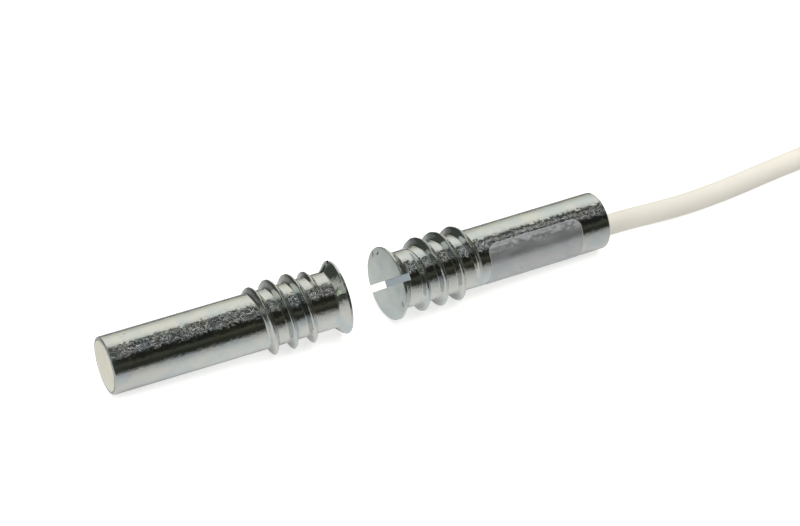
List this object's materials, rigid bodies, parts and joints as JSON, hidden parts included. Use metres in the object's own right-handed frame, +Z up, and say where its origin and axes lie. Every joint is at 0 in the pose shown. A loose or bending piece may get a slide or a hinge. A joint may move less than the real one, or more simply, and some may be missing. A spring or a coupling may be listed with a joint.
{
  "type": "flush-mounting magnetic contact",
  "caption": "Recessed door contact set: slotted screw-in metal housing with a reed switch and round cable, and its magnet in the same housing.",
  "frame": {"origin": "on the surface that the set lies on, under the middle of the two halves (cable left out)", "axes": "+X along the contact, from its flange to its cable end; +Y away from the label's side; +Z up"},
  "size_m": [0.2027, 0.0333, 0.015],
  "materials": {
    "zinc_plate": "bright zinc plate, pale blue passivated",
    "potting_resin": "cast cream resin, matt",
    "glass_tube": "clear, sealed ends",
    "reed_metal": "nickel-iron wire, bright",
    "sleeve_film": "rolled amber film",
    "solder": "bright solder",
    "copper": "bare copper wire",
    "tinned_copper": "tinned wire",
    "insulation_white": "extruded, satin",
    "insulation_brown": "extruded, satin",
    "insulation_yellow": "extruded, satin",
    "insulation_green": "extruded, satin",
    "cable_jacket": "extruded warm white, satin",
    "tie_plastic": "moulded, satin",
    "label_film": "clear film, unprinted",
    "magnet_nickel": "nickel plate"
  },
  "bodies": {
    "root": {"contact_housing": "zinc_plate", "magnet_housing": "zinc_plate", "contact_potting": "potting_resin", "magnet_potting": "potting_resin", "reed_glass": "glass_tube", "reed_blade_front": "reed_metal", "reed_blade_rear": "reed_metal", "insulating_sleeve": "sleeve_film", "solder_front": "solder", "solder_rear": "solder", "solder_loop": "solder", "core_white": "insulation_white", "core_brown": "insulation_brown", "core_yellow": "insulation_yellow", "core_green": "insulation_green", "conductor_white": "copper", "conductor_brown": "copper", "conductor_yellow": "copper", "conductor_green": "copper", "label_film": "label_film", "cable_lead": "cable_jacket", "cable_coil": "cable_jacket", "cable_tail": "cable_jacket", "coil_tie": "tie_plastic", "core_white_end": "insulation_white", "core_brown_end": "insulation_brown", "core_yellow_end": "insulation_yellow", "core_green_end": "insulation_green", "tip_white": "tinned_copper", "tip_brown": "tinned_copper", "tip_yellow": "tinned_copper", "tip_green": "tinned_copper", "bar_magnet": "magnet_nickel"}
  },
  "joints": []
}
